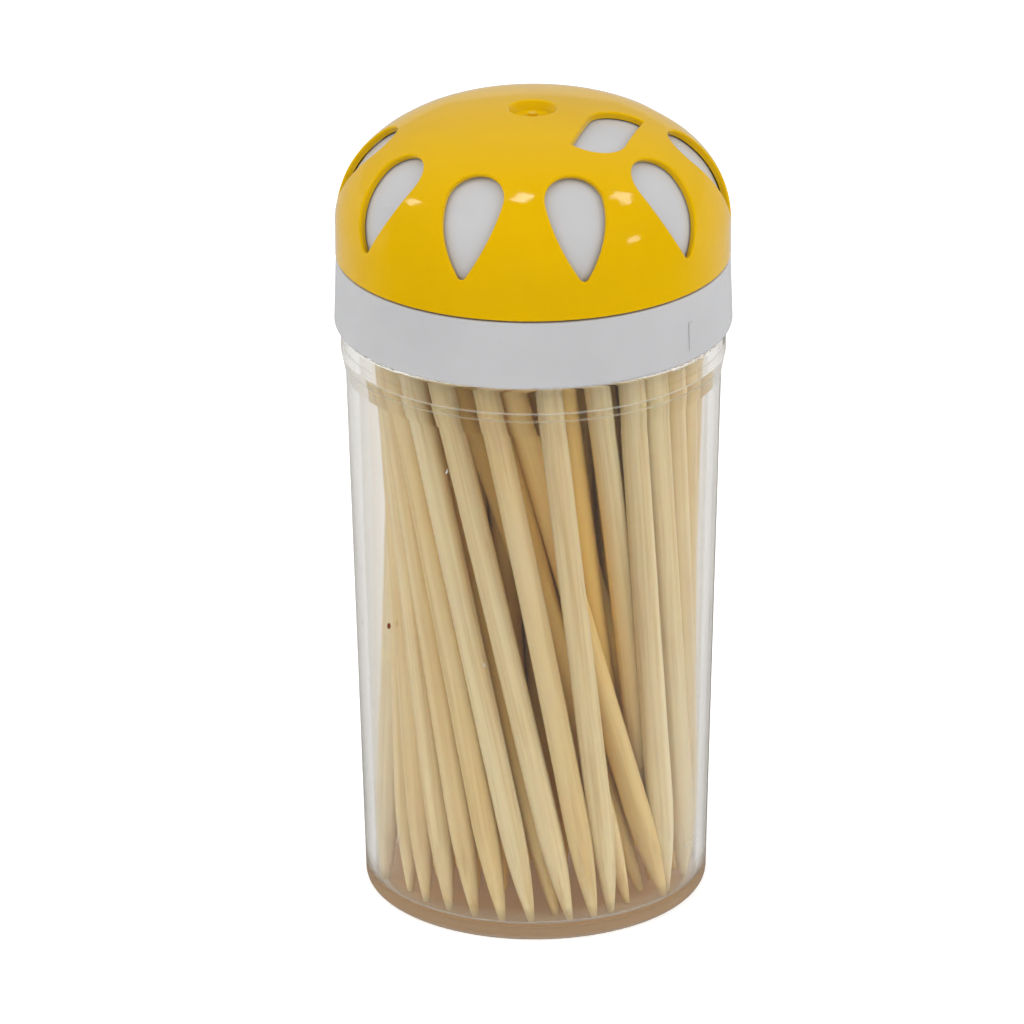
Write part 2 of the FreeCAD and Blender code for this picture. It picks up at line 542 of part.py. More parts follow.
class Bundle:
    """The toothpicks as straight lines that lean in the cup, moved apart until none touch.

    A line is [x, y, x, y]: where it passes the level of the lower points, and where it passes the
    level that an upright toothpick's upper point reaches. A share of the way up is 0 to 1."""

    def __init__(self):
        self.radius = size("pick_radius")
        self.tip = size("pick_tip_radius")
        self.taper = size("pick_taper / pick_length")
        self.gap = size("pick_gap")
        self.slanting = 1 / math.cos(math.radians(size("pick_lean")))
        self.row_depth = 2 * self.radius * self.slanting
        self.low = size("cup_floor + pick_lift")
        self.high = self.low + size("pick_length")
        self.bead = self.share_at(SEAT)
        self.checked = [0, self.taper / 2, self.taper, 0.5, 1 - self.taper, 1 - self.taper / 2, 1]
        self.checked += [self.share_at(level) for level in (SEAT, NECK_TOP, SHOULDER_Z)]
        self.rooms = [self.room(share) for share in self.checked]
        self.lines = [self.line(*pick) for pick in FRONT_PICKS]
        self.lines += self.back_lines()
        self.lines += self.inner_lines()
        self.give = [FRONT_GIVE if place < len(FRONT_PICKS) else 1 for place in range(len(self.lines))]
        self.settle()

    def share_at(self, level):
        return (size(level) - self.low) / (self.high - self.low)

    def girth(self, share):
        """Radius of a toothpick this share of the way up, as a level section shows it."""
        thick = min(1, share / self.taper, (1 - share) / self.taper)
        return (self.tip + (self.radius - self.tip) * thick) * self.slanting

    def room(self, share):
        """How far from the axis of the cup the middle of a toothpick may be."""
        height = self.low + share * (self.high - self.low)
        foot, mouth = size(f"{FOOT_RADIUS} - cup_wall"), size(CUP_BORE)
        corner = size("cup_inside_corner")
        above_corner = height - size("cup_floor") - corner
        way_up = above_corner / (size(SEAT) - size("cup_floor") - corner)
        inside = foot + (mouth - foot) * min(1, way_up)
        if above_corner < 0:
            inside = foot - corner + math.sqrt(corner ** 2 - above_corner ** 2)
        if height > size(NECK_TOP):
            inside = size(f"{SHELL_RADIUS} - {ROOF_INSET}")
        above_shoulder = height - size(SHOULDER_Z)
        if above_shoulder > 0:
            radius = size(f"shoulder_radius - {ROOF_INSET}")
            inside = size(SHOULDER_X) + math.sqrt(radius ** 2 - above_shoulder ** 2)
        return inside - self.girth(share) - self.gap

    def line(self, low_azimuth, low_row, bead_azimuth, bead_row):
        """A toothpick from its azimuths in degrees and its rows behind the wall."""
        ends = []
        for share, azimuth, row in ((0, low_azimuth, low_row), (self.bead, bead_azimuth, bead_row)):
            reach, turn = self.room(share) - row * self.row_depth, math.radians(azimuth)
            ends.append((reach * math.sin(turn), -reach * math.cos(turn)))
        (low_x, low_y), (bead_x, bead_y) = ends
        return [low_x, low_y, low_x + (bead_x - low_x) / self.bead, low_y + (bead_y - low_y) / self.bead]

    def back_lines(self):
        """The rest of the row at the wall, evenly spread from the last front toothpick to the first."""
        low_first, _, bead_first, _ = FRONT_PICKS[-1]
        low_last, _, bead_last, _ = FRONT_PICKS[0]
        low_span, bead_span = low_last + 360 - low_first, bead_last + 360 - bead_first
        pitch = 2 * (self.radius + self.gap) * self.slanting * WALL_PITCH
        count = int(math.radians(min(low_span, bead_span)) * self.room(self.bead) / pitch)
        return [self.line(low_first + low_span * step / count, 0, bead_first + bead_span * step / count, 0)
                for step in range(1, count)]

    def inner_lines(self):
        """The other toothpicks, spread evenly over the middle of the cup like a sunflower's seeds,
        without those that would start in the place of one that is there already."""
        whole = size("pick_fill") * (self.room(0.5) + self.radius) ** 2 / self.radius ** 2
        count = max(0, int(whole) - len(self.lines))
        widest = self.room(0.5) - 2 * self.radius
        golden = 180 * (3 - math.sqrt(5))
        lines = []
        for place in reversed(range(count)):
            reach = widest * math.sqrt((place + 0.5) / count)
            row = (self.room(0.5) - reach) / self.row_depth
            azimuth = place * golden
            twist = INNER_TWIST * (1 + 0.3 * math.sin(place * golden))
            line = self.line(azimuth, row, azimuth - twist, row)
            if all(self.closest(line, other)[1] > INNER_START * self.radius for other in self.lines):
                lines.append(line)
        return lines

    def settle(self):
        for turn in range(SETTLING_ROUNDS):
            if turn % 10 == 0:
                near = self.neighbours()
            lacking = max(self.part(first, second) for first, second in near)
            for line in self.lines:
                self.hold_in(line)
            if lacking < self.gap / 3:
                return
        print(f"toothpicks still {lacking:.3f} mm too close after {SETTLING_ROUNDS} rounds")

    def neighbours(self):
        reach = 4 * self.radius
        places = range(len(self.lines))
        return [(first, second) for first in places for second in places[first + 1:]
                if self.closest(self.lines[first], self.lines[second])[1] < reach]

    def closest(self, first, second):
        """The share of the way up where two lines pass closest, and how far apart they are there."""
        low_x, low_y = second[0] - first[0], second[1] - first[1]
        run_x, run_y = second[2] - first[2] - low_x, second[3] - first[3] - low_y
        run = run_x ** 2 + run_y ** 2
        share = min(1, max(0, -(low_x * run_x + low_y * run_y) / run)) if run else 0
        return share, math.hypot(low_x + share * run_x, low_y + share * run_y)

    def part(self, *pair):
        """Moves two toothpicks apart where they are too close. Returns the most that was lacking."""
        first, second = (self.lines[place] for place in pair)
        gives = [self.give[place] for place in pair]
        worst = 0
        for share in [self.closest(first, second)[0], *self.checked]:
            rest = 1 - share
            away_x = (second[0] - first[0]) * rest + (second[2] - first[2]) * share
            away_y = (second[1] - first[1]) * rest + (second[3] - first[3]) * share
            apart = math.hypot(away_x, away_y) or 1e-9
            lacking = 2 * (self.girth(share) + self.gap) - apart
            if lacking <= 0:
                continue
            worst = max(worst, lacking)
            step = lacking / apart / (rest ** 2 + share ** 2) / sum(gives)
            self.shift(first, share, -step * gives[0] * away_x, -step * gives[0] * away_y)
            self.shift(second, share, step * gives[1] * away_x, step * gives[1] * away_y)
        return worst

    def shift(self, line, share, x, y):
        """Pushes a line sideways this share of the way up, which moves its nearer end the most."""
        line[0] += (1 - share) * x
        line[1] += (1 - share) * y
        line[2] += share * x
        line[3] += share * y

    def hold_in(self, line):
        """Moves a toothpick back inside the cup and the roof."""
        for share, room in zip(self.checked, self.rooms):
            rest = 1 - share
            x, y = line[0] * rest + line[2] * share, line[1] * rest + line[3] * share
            reach = math.hypot(x, y)
            if reach > room:
                step = (room / reach - 1) / (rest ** 2 + share ** 2)
                self.shift(line, share, step * x, step * y)

    def placements(self):
        for line in self.lines:
            low, high = Vector(*line[:2], self.low), Vector(*line[2:], self.high)
            yield Placement(low, Rotation(Vector(0, 0, 1), high - low))


def make_toothpicks():
    """Round picks with two points. The ones at the wall are sub-parts of their own."""
    outline = Outline(None, "toothpick_section")
    outline.start("0", "0")
    outline.line("pick_tip_radius", "0")
    outline.line("pick_radius", "pick_taper")
    outline.line("pick_radius", "pick_length - pick_taper")
    outline.line("pick_tip_radius", "pick_length")
    outline.line("0", "pick_length")
    section = outline.close()
    parts, inner = [], []
    for number, place in enumerate(Bundle().placements(), start=1):
        pick = doc.addObject("Part::Revolution", f"toothpick_{number:02d}")
        pick.Source = section
        pick.Axis = Vector(0, 0, 1)
        pick.Solid = True
        pick.Placement = place
        (parts if number <= SEPARATE_PICKS else inner).append(pick)
    for number in range(INNER_GROUPS):
        group = doc.addObject("Part::Compound", f"inner_toothpicks_{number + 1}")
        group.Links = inner[number::INNER_GROUPS]
        if group.Links:
            parts.append(group)
    doc.recompute()
    return parts


# ---- hand-in -----------------------------------------------------------------------------------

def main():
    parts = [make_cup(), make_cap(), make_shell()] + make_toothpicks()
    doc.recompute()
    for item in doc.Objects:
        if "Invalid" in item.State or "Error" in item.State:
            raise RuntimeError(f"{item.Label} failed: {item.State}")
    os.makedirs("parts", exist_ok=True)
    for part in parts:
        if part.Shape.isNull() or not part.Shape.isValid():
            raise RuntimeError(f"{part.Label} has no valid shape")
        part.Shape.exportStep(f"parts/{part.Label}.step")


main()
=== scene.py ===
import math

import bpy
import numpy as np
from mathutils import Matrix, Vector


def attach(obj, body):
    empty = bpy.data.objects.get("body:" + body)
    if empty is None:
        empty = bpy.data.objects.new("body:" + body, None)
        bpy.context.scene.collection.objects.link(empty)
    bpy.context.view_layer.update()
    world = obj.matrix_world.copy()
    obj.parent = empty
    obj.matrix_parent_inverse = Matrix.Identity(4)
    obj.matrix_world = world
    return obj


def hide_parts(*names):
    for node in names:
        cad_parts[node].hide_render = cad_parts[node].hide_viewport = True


# A round toothpick dispenser: clear cup with toothpicks, white cap, yellow shell that turns on it.
# Everything is in metres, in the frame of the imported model: +Z up, front towards -Y. Cup, cap and shell
# keep the shapes of the construction model and get a material; the toothpicks are modelled anew.
#
# A tuple that is handed to Nodes.ramp gives the value's two ends and what they are mapped to.

MM = 0.001
WHITE = (1, 1, 1, 1)

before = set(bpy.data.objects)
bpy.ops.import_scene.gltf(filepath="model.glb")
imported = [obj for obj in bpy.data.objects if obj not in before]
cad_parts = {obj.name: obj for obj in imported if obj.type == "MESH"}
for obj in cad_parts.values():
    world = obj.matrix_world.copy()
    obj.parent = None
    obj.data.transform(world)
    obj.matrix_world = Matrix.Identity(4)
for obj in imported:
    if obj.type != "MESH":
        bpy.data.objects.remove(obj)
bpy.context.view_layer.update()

scene = bpy.context.scene
scene.view_settings.view_transform = "Standard"


# ---- camera ------------------------------------------------------------------------------------

# A long lens from a little above, fitted to the ellipses of foot, collar and rim. The angles are in degrees,
# lens and sensor in mm, and so is the camera's place along its own three directions.
CAMERA_ELEVATION, CAMERA_ROLL = 22.35, -0.33
CAMERA_LENS, CAMERA_SENSOR = 298.83, 36
CAMERA_BACK, CAMERA_RIGHT, CAMERA_UP = 774.39, -2.0, 32.66
CAMERA_NEAR, CAMERA_FAR = 0.05, 20


def make_camera():
    elevation, roll = math.radians(CAMERA_ELEVATION), math.radians(CAMERA_ROLL)
    right = Vector((1, 0, 0))
    up = Vector((0, math.sin(elevation), math.cos(elevation)))
    back = right.cross(up)
    data = bpy.data.cameras.new("camera")
    data.lens = CAMERA_LENS
    data.sensor_width = CAMERA_SENSOR
    data.clip_start, data.clip_end = CAMERA_NEAR, CAMERA_FAR
    camera = bpy.data.objects.new("camera", data)
    turned = Matrix((right, up, back)).transposed().to_4x4() @ Matrix.Rotation(roll, 4, "Z")
    place = back * CAMERA_BACK * MM + right * CAMERA_RIGHT * MM + up * CAMERA_UP * MM
    camera.matrix_world = Matrix.Translation(place) @ turned
    scene.collection.objects.link(camera)
    scene.camera = camera


# ---- light and floor ---------------------------------------------------------------------------

# Each lamp has an azimuth from the front, towards +X, and an elevation in degrees, a width and a height in
# metres and a power in watts. The soft lamps light the object and the boxes make the highlights on the shell.
LAMP_AIM = (0, 0, 0.05)
SOFT_AWAY, BOX_AWAY = 1.1, 1.2
SOFT_LAMPS = {"key": (-60, 42, 0.9, 0.7, 3.6),
              "fill": (58, 36, 0.8, 0.7, 3.4),
              "front": (3, 8, 0.9, 0.5, 1.45)}
BOX_LAMPS = {"top_box": (-32, 82.5, 0.125, 0.155, 0.8),
             "right_box": (96, 56, 0.13, 0.155, 0.6),
             "low_box": (63, 21, 0.15, 0.125, 0.5),
             "left_box": (-101, 41, 0.115, 0.155, 0.55)}

# The world's strength, from the front to the back, as light and as it is mirrored.
WORLD_AMBIENT = (-0.8, 0.1, 0.35, 0.85)
WORLD_MIRROR = (-0.1, 0.5, 0.05, 0.40)

FLOOR_RINGS, FLOOR_SIDES = 24, 96
FLOOR_REACH, FLOOR_FLAT = 1.6, 1.0
FLOOR_SPACING, FLOOR_CURVE = 1.5, 0.9
FLOOR_CLOTH = (0.86, 0.86, 0.86, 1)
FLOOR_GLOW = 0.42
# What the floor shows through clear plastic and mirrored in it, from before the object to behind it.
FLOOR_THROUGH = (-0.05, 0.0, 0.55, 1.0)
FLOOR_MIRROR = (-0.02, 0.10, 0.04, 0.6)


def direction(azimuth, elevation):
    """From the object towards a place at this azimuth from the front, towards +X, and elevation."""
    level = math.cos(math.radians(elevation))
    return Vector((math.sin(math.radians(azimuth)) * level, -math.cos(math.radians(azimuth)) * level,
                   math.sin(math.radians(elevation))))


def make_lamp(name, azimuth, elevation, width, height, watts, distance, mirrored):
    """A rectangular lamp that faces the object. Only a mirrored one shows in gloss."""
    data = bpy.data.lights.new(name, "AREA")
    data.shape = "RECTANGLE"
    data.size, data.size_y = width, height
    data.energy = watts
    lamp = bpy.data.objects.new(name, data)
    lamp.visible_glossy = mirrored
    towards = direction(azimuth, elevation)
    lamp.location = Vector(LAMP_AIM) + towards * distance
    lamp.rotation_euler = towards.to_track_quat("Z", "Y").to_euler()
    scene.collection.objects.link(lamp)


class Nodes:
    """A node tree that is built one node at a time."""

    def __init__(self, owner):
        owner.use_nodes = True
        self.tree = owner.node_tree
        self.tree.nodes.clear()

    def add(self, kind, inputs=None, **settings):
        """Adds a node. inputs maps a socket's name or number to a value or to another node's output."""
        node = self.tree.nodes.new(kind)
        for name, value in settings.items():
            setattr(node, name, value)
        for name, value in (inputs or {}).items():
            self.feed(node.inputs[name], value)
        return node

    def feed(self, socket, value):
        if isinstance(value, bpy.types.NodeSocket):
            self.tree.links.new(value, socket)
        else:
            socket.default_value = value

    def math(self, operation, *values, clamp=False):
        return self.add("ShaderNodeMath", dict(enumerate(values)), operation=operation,
                        use_clamp=clamp).outputs[0]

    def mix(self, share, first, second):
        """A mix of two colours."""
        node = self.add("ShaderNodeMix", data_type="RGBA")
        for number, value in ((0, share), (6, first), (7, second)):
            self.feed(node.inputs[number], value)
        return node.outputs[2]

    def blend(self, share, first, second):
        """A mix of two shaders."""
        return self.add("ShaderNodeMixShader", {0: share, 1: first, 2: second}).outputs[0]

    def shine(self, kind, strength):
        """White light of this strength, from a background or an emission node."""
        return self.add(kind, {"Color": WHITE, "Strength": strength}).outputs[0]

    def noise(self, vector, scale, detail=2.0, roughness=0.5, distortion=0.0):
        return self.add("ShaderNodeTexNoise", {"Vector": vector, "Scale": scale, "Detail": detail,
                                               "Roughness": roughness, "Distortion": distortion}).outputs[0]

    def stretch(self, vector, scale):
        return self.add("ShaderNodeMapping", {"Vector": vector, "Scale": scale}).outputs[0]

    def ramp(self, value, low, high, start=0.0, end=1.0):
        """The value, mapped from low..high to start..end and held there."""
        return self.add("ShaderNodeMapRange", {0: value, 1: low, 2: high, 3: start, 4: end}).outputs[0]

    def bump(self, height, distance, strength):
        return self.add("ShaderNodeBump", {"Height": height, "Distance": distance,
                                           "Strength": strength}).outputs[0]

    def length(self, vector):
        return self.add("ShaderNodeVectorMath", {0: vector}, operation="LENGTH").outputs["Value"]

    def part_of(self, vector, axis):
        return self.add("ShaderNodeSeparateXYZ", {0: vector}).outputs[axis]

    def position(self):
        return self.add("ShaderNodeTexCoord").outputs["Object"]

    def from_axis(self, place):
        """How far a place is from the dispenser's axis."""
        return self.length(self.stretch(place, (1, 1, 0)))


def seen_ray(nodes):
    """Three outputs that are 1 for straight rays, for those that went through glass and for mirrored ones."""
    path = nodes.add("ShaderNodeLightPath")
    through = path.outputs["Is Transmission Ray"]
    return (path.outputs["Is Camera Ray"], through,
            nodes.math("SUBTRACT", path.outputs["Is Glossy Ray"], through, clamp=True))


def make_world():
    """White to the eye. It lights and mirrors like a white sweep that is open towards the front."""
    world = bpy.data.worlds.new("studio")
    scene.world = world
    nodes = Nodes(world)
    camera, through, mirrored = seen_ray(nodes)
    straight = nodes.math("MAXIMUM", camera, through)
    sky = nodes.add("ShaderNodeTexCoord").outputs["Generated"]
    back = nodes.part_of(sky, "Y")
    ambient = nodes.shine("ShaderNodeBackground", nodes.ramp(back, *WORLD_AMBIENT))
    mirror = nodes.shine("ShaderNodeBackground", nodes.ramp(back, *WORLD_MIRROR))
    plain = nodes.shine("ShaderNodeBackground", 1.0)
    light = nodes.blend(mirrored, ambient, mirror)
    nodes.add("ShaderNodeOutputWorld", {0: nodes.blend(straight, light, plain)})


def make_floor():
    """A round pale floor whose rim curves up, a little brighter to the eye than the light makes it."""
    sides = FLOOR_SIDES
    points = []
    for ring in range(FLOOR_RINGS + 1):
        reach = FLOOR_REACH * (ring / FLOOR_RINGS) ** FLOOR_SPACING
        rise = max(0, reach - FLOOR_FLAT) ** 2 * FLOOR_CURVE
        for side in range(sides):
            turn = 2 * math.pi * side / sides
            points.append((reach * math.cos(turn), reach * math.sin(turn), rise))
    faces = [(ring * sides + side, ring * sides + (side + 1) % sides,
              (ring + 1) * sides + (side + 1) % sides, (ring + 1) * sides + side)
             for ring in range(FLOOR_RINGS) for side in range(sides)]
    mesh = bpy.data.meshes.new("floor")
    mesh.from_pydata(points, [], faces)
    floor = bpy.data.objects.new("floor", mesh)
    scene.collection.objects.link(floor)
    material = bpy.data.materials.new("floor")
    nodes = Nodes(material)
    camera, through, mirrored = seen_ray(nodes)
    place = nodes.part_of(nodes.position(), "Y")
    cloth = nodes.add("ShaderNodeBsdfDiffuse", {"Color": FLOOR_CLOTH}).outputs[0]
    glow = nodes.shine("ShaderNodeEmission", nodes.math("MULTIPLY", camera, FLOOR_GLOW))
    seen = nodes.add("ShaderNodeAddShader", {0: cloth, 1: glow}).outputs[0]
    beyond = nodes.shine("ShaderNodeEmission", nodes.ramp(place, *FLOOR_THROUGH))
    mirror = nodes.shine("ShaderNodeEmission", nodes.ramp(place, *FLOOR_MIRROR))
    seen = nodes.blend(through, seen, beyond)
    nodes.add("ShaderNodeOutputMaterial", {0: nodes.blend(mirrored, seen, mirror)})
    mesh.materials.append(material)


# ---- wood --------------------------------------------------------------------------------------

WOOD_PALE = (0.89, 0.77, 0.50, 1)
WOOD_DEEP = (0.80, 0.58, 0.24, 1)
WOOD_STREAK = (0.62, 0.42, 0.16, 1)
WOOD_FIBRE = (0.48, 0.30, 0.11, 1)
WOOD_CREAM = (0.87, 0.79, 0.56, 1)
WOOD_BLUSH = (0.75, 0.55, 0.33, 1)
WOOD_PAINTED_GAP_SHADE = (0.96, 0.65, 0.21, 1)

# What lies over a toothpick's own tone, in this order: the noise's scale across and along the grain, its
# detail and roughness, how it turns into the layer's share, and the layer's colour.
WOOD_LAYERS = {"streak": ((1000, 1000, 14), 2, 0.5, (0.45, 0.72, 0, 0.55), WOOD_STREAK),
               "fibre": ((2400, 2400, 60), 4, 0.6, (0.5, 0.75, 0, 0.45), WOOD_FIBRE),
               "cloud": ((260, 260, 70), 2, 0.5, (0.45, 0.8, 0, 0.30), WOOD_CREAM),
               "blush": ((500, 500, 120), 2, 0.5, (0.52, 0.8, 0, 0.30), WOOD_BLUSH)}

# Inside the bundle, which widens upwards like the cup, the wood gets a painted deeper orange that stands for
# the shade and warm bounce light in the gaps between the toothpicks.
BUNDLE_FLARE = 0.028
BUNDLE_SHADE_DEPTH = (10.0 * MM, 12.4 * MM, 0.90, 0)

WOOD_ROUGHNESS = (0.3, 0.7, 0.5, 0.68)
WOOD_SCATTER = (0.0012, 0.0006, 0.0002)
WOOD_RELIEF = 0.00004


def wood_material():
    """Birch with grain along each toothpick, and painted shade and bounce light, a deeper orange, inside the
    bundle.
    """
    material = bpy.data.materials.new("wood")
    nodes = Nodes(material)
    grain = nodes.add("ShaderNodeAttribute", attribute_name="grain").outputs["Vector"]
    tone = nodes.add("ShaderNodeAttribute", attribute_name="tone").outputs["Fac"]
    colour = nodes.mix(tone, WOOD_PALE, WOOD_DEEP)
    noises = {}
    for name, (scale, detail, roughness, share, paint) in WOOD_LAYERS.items():
        noises[name] = nodes.noise(nodes.stretch(grain, scale), 1.0, detail, roughness)
        colour = nodes.mix(nodes.ramp(noises[name], *share), colour, paint)
    place = nodes.position()
    spread = nodes.math("SUBTRACT", nodes.from_axis(place),
                        nodes.math("MULTIPLY", nodes.part_of(place, "Z"), BUNDLE_FLARE))
    # Painted shade: towards the middle of the bundle the wood turns a deeper orange for the shade and bounce
    # light between the toothpicks.
    colour = nodes.mix(nodes.ramp(spread, *BUNDLE_SHADE_DEPTH), colour, WOOD_PAINTED_GAP_SHADE)
    height = nodes.math("ADD", nodes.math("MULTIPLY", noises["fibre"], 0.6), noises["streak"])
    shader = nodes.add("ShaderNodeBsdfPrincipled", {
        "Base Color": colour, "Roughness": nodes.ramp(noises["fibre"], *WOOD_ROUGHNESS),
        "Subsurface Weight": 0.35, "Subsurface Radius": WOOD_SCATTER, "Subsurface Scale": 1.0,
        "Specular IOR Level": 0.08, "Normal": nodes.bump(height, WOOD_RELIEF, 0.8)})
    nodes.add("ShaderNodeOutputMaterial", {0: shader.outputs[0]})
    return material


# ---- clear plastic -----------------------------------------------------------------------------

CLEAR_BODY = (0.965, 0.955, 0.93, 1)
CLEAR_SHADOW = (0.995, 0.99, 0.975, 1)
CLEAR_ROUGHNESS = (0.35, 0.7, 0.015, 0.05)
CLEAR_WAVES = 0.00004

# Haze gathers where the wall is seen edge on.
MILK = (0.58, 0.53, 0.425, 1)
MILK_EDGE = (0.45, 0.95, 0.002, 0.34)

# The foot gets a painted brown, standing for the refraction of the wood and of the light under the cup that
# the thick base shows: how high up, and from which radius its outer ring begins.
FOOT_REFRACTION_OUT, FOOT_REFRACTION_IN = (0.51, 0.44, 0.36, 1), (0.58, 0.33, 0.10, 1)
FOOT_HEIGHT = (1.2 * MM, 3.3 * MM, 1, 0)
FOOT_RING = (13.4 * MM, 14.9 * MM)
FOOT_SHARE_IN, FOOT_SHARE_OUT = 0.80, 0.50

# The stop bead leaves a crease on the outside of the wall and one on its inside, at these heights; each gets
# a painted highlight, a thin pale line where the small round crease would catch light.
CREASE_OUT, CREASE_IN = 51.50 * MM, 50.50 * MM
CREASE_HIGHLIGHT = (0.95, 0.92, 0.84, 1)
CREASE_LINE = (0.04 * MM, 0.15 * MM, 0.40, 0)
CREASE_FULL = (0, 0.1)
OUTSIDE_FROM = (16.1 * MM, 16.2 * MM)

# Radius of the wall's outside at two heights.
WALL_HEIGHTS, WALL_RADII = (0.90 * MM, 49.30 * MM), (15.45 * MM, 16.70 * MM)

# Marks on the outside of the cup: azimuth, height, half width and half length, lean from upright in
# degrees, colour, and how much of the wall's clearness each takes. Lengths in mm.
MARKS = ((-53.5, 28.4, 0.30, 0.42, 35, (0.20, 0.04, 0.02, 1), 1.0),
         (-79.0, 26.0, 0.14, 0.20, 0, (0.40, 0.36, 0.30, 1), 0.8),
         (-27.6, 45.2, 0.10, 0.34, 20, (0.95, 0.93, 0.86, 1), 0.8),
         (-16.3, 27.1, 0.12, 0.30, -15, (0.95, 0.93, 0.86, 1), 0.6),
         (64.6, 5.8, 0.10, 1.90, 98, (0.95, 0.93, 0.88, 1), 0.7))
MARK_DEPTH = 0.3 * MM
MARK_RAGGED = (0.3, 0.7, -0.2, 0.2)
MARK_EDGE = (0.7, 1.0)


def clear_material():
    """Clear polystyrene with a trace of haze, a painted brown refraction in the foot, two creases with a
    painted highlight and a few marks.
    """
    material = bpy.data.materials.new("clear_plastic")
    nodes = Nodes(material)
    place = nodes.position()
    height = nodes.part_of(place, "Z")
    reach = nodes.from_axis(place)
    wave = nodes.noise(place, 90, 1, 0.4)
    haze = nodes.noise(place, 260, 3, 0.6)
    shader = nodes.add("ShaderNodeBsdfPrincipled", {
        "Base Color": CLEAR_BODY, "Roughness": nodes.ramp(haze, *CLEAR_ROUGHNESS),
        "IOR": 1.55, "Transmission Weight": 1.0, "Normal": nodes.bump(wave, CLEAR_WAVES, 0.4)})
    # Painted refraction: the lower wall and base take a brown from the wood, more orange inside the outer
    # ring.
    foot = nodes.ramp(height, *FOOT_HEIGHT)
    refracted_brown = nodes.mix(nodes.ramp(reach, *FOOT_RING), FOOT_REFRACTION_IN, FOOT_REFRACTION_OUT)
    colour = nodes.mix(foot, MILK, refracted_brown)
    facing = nodes.add("ShaderNodeLayerWeight", {0: 0.5}).outputs["Facing"]
    share = nodes.ramp(facing, *MILK_EDGE)
    refracted_share = nodes.math("MULTIPLY", foot, nodes.ramp(reach, *FOOT_RING, FOOT_SHARE_IN, FOOT_SHARE_OUT))
    share = nodes.math("MAXIMUM", share, refracted_share)
    outside = nodes.ramp(reach, *OUTSIDE_FROM)
    # Painted highlight: a thin pale line along each crease.
    for level, where in ((CREASE_OUT, outside), (CREASE_IN, nodes.math("SUBTRACT", 1.0, outside))):
        away = nodes.math("ABSOLUTE", nodes.math("SUBTRACT", height, level))
        line = nodes.math("MULTIPLY", nodes.ramp(away, *CREASE_LINE), where)
        colour = nodes.mix(nodes.ramp(line, *CREASE_FULL), colour, CREASE_HIGHLIGHT)
        share = nodes.math("MAXIMUM", share, line)
    for azimuth, level, half_width, half_length, lean, paint, strength in MARKS:
        wall = np.interp(level * MM, WALL_HEIGHTS, WALL_RADII)
        around = math.radians(azimuth)
        spot = nodes.add("ShaderNodeMapping", {
            "Vector": place, "Location": (wall * math.sin(around), -wall * math.cos(around), level * MM),
            "Rotation": (0, math.radians(lean), around),
            "Scale": (half_width * MM, MARK_DEPTH, half_length * MM)}, vector_type="TEXTURE").outputs[0]
        edge = nodes.math("ADD", nodes.length(spot), nodes.ramp(haze, *MARK_RAGGED))
        spot = nodes.ramp(edge, *MARK_EDGE, strength, 0)
        colour = nodes.mix(spot, colour, paint)
        share = nodes.math("MAXIMUM", share, spot)
    milk = nodes.add("ShaderNodeBsdfTranslucent", {0: colour}).outputs[0]
    chalk = nodes.add("ShaderNodeBsdfDiffuse", {0: colour}).outputs[0]
    clear = nodes.blend(share, shader.outputs[0], nodes.blend(0.5, milk, chalk))
    shadow = nodes.add("ShaderNodeBsdfTransparent", {0: CLEAR_SHADOW}).outputs[0]
    path = nodes.add("ShaderNodeLightPath")
    nodes.add("ShaderNodeOutputMaterial", {0: nodes.blend(path.outputs["Is Shadow Ray"], clear, shadow)})
    return material


# ---- moulded plastic ---------------------------------------------------------------------------

# Name, colour, colour of the flow clouds, roughness, subsurface weight and specular level.
CAP_PLASTIC = ("white_plastic", (0.53, 0.53, 0.54, 1), (0.505, 0.505, 0.515, 1), 0.20, 0.15, 0.5)
SHELL_PLASTIC = ("yellow_plastic", (0.69, 0.41, 0.001, 1), (0.66, 0.39, 0.001, 1), 0.05, 0.10, 0.25)

PLASTIC_SCATTER = (0.0012, 0.0010, 0.0008)
PLASTIC_RELIEF = 0.00003
SCUFF_STRETCH = (500, 500, 2600)
SCUFF_ROUGHNESS = 0.08


def moulded_material(name, colour, deeper, roughness, subsurface, gloss):
    """Opaque injection-moulded plastic: faint flow clouds, an even fine skin and a few scuffs."""
    material = bpy.data.materials.new(name)
    nodes = Nodes(material)
    place = nodes.position()
    flow = nodes.noise(place, 120, 2, 0.5, 0.4)
    skin = nodes.noise(place, 2600, 2, 0.5)
    scuff = nodes.noise(nodes.stretch(place, SCUFF_STRETCH), 1.0, 3, 0.7)
    height = nodes.math("ADD", nodes.math("MULTIPLY", skin, 0.25), flow)
    shader = nodes.add("ShaderNodeBsdfPrincipled", {
        "Base Color": nodes.mix(nodes.ramp(flow, 0.4, 0.7), colour, deeper),
        "Roughness": nodes.ramp(scuff, 0.45, 0.75, roughness, roughness + SCUFF_ROUGHNESS),
        "IOR": 1.5, "Specular IOR Level": gloss, "Subsurface Weight": subsurface,
        "Subsurface Radius": PLASTIC_SCATTER, "Subsurface Scale": 1.0,
        "Normal": nodes.bump(height, PLASTIC_RELIEF, 0.5)})
    nodes.add("ShaderNodeOutputMaterial", {0: shader.outputs[0]})
    return material


def dress(node, material):
    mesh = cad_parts[node].data
    mesh.materials.clear()
    mesh.materials.append(material)


# ---- toothpicks --------------------------------------------------------------------------------

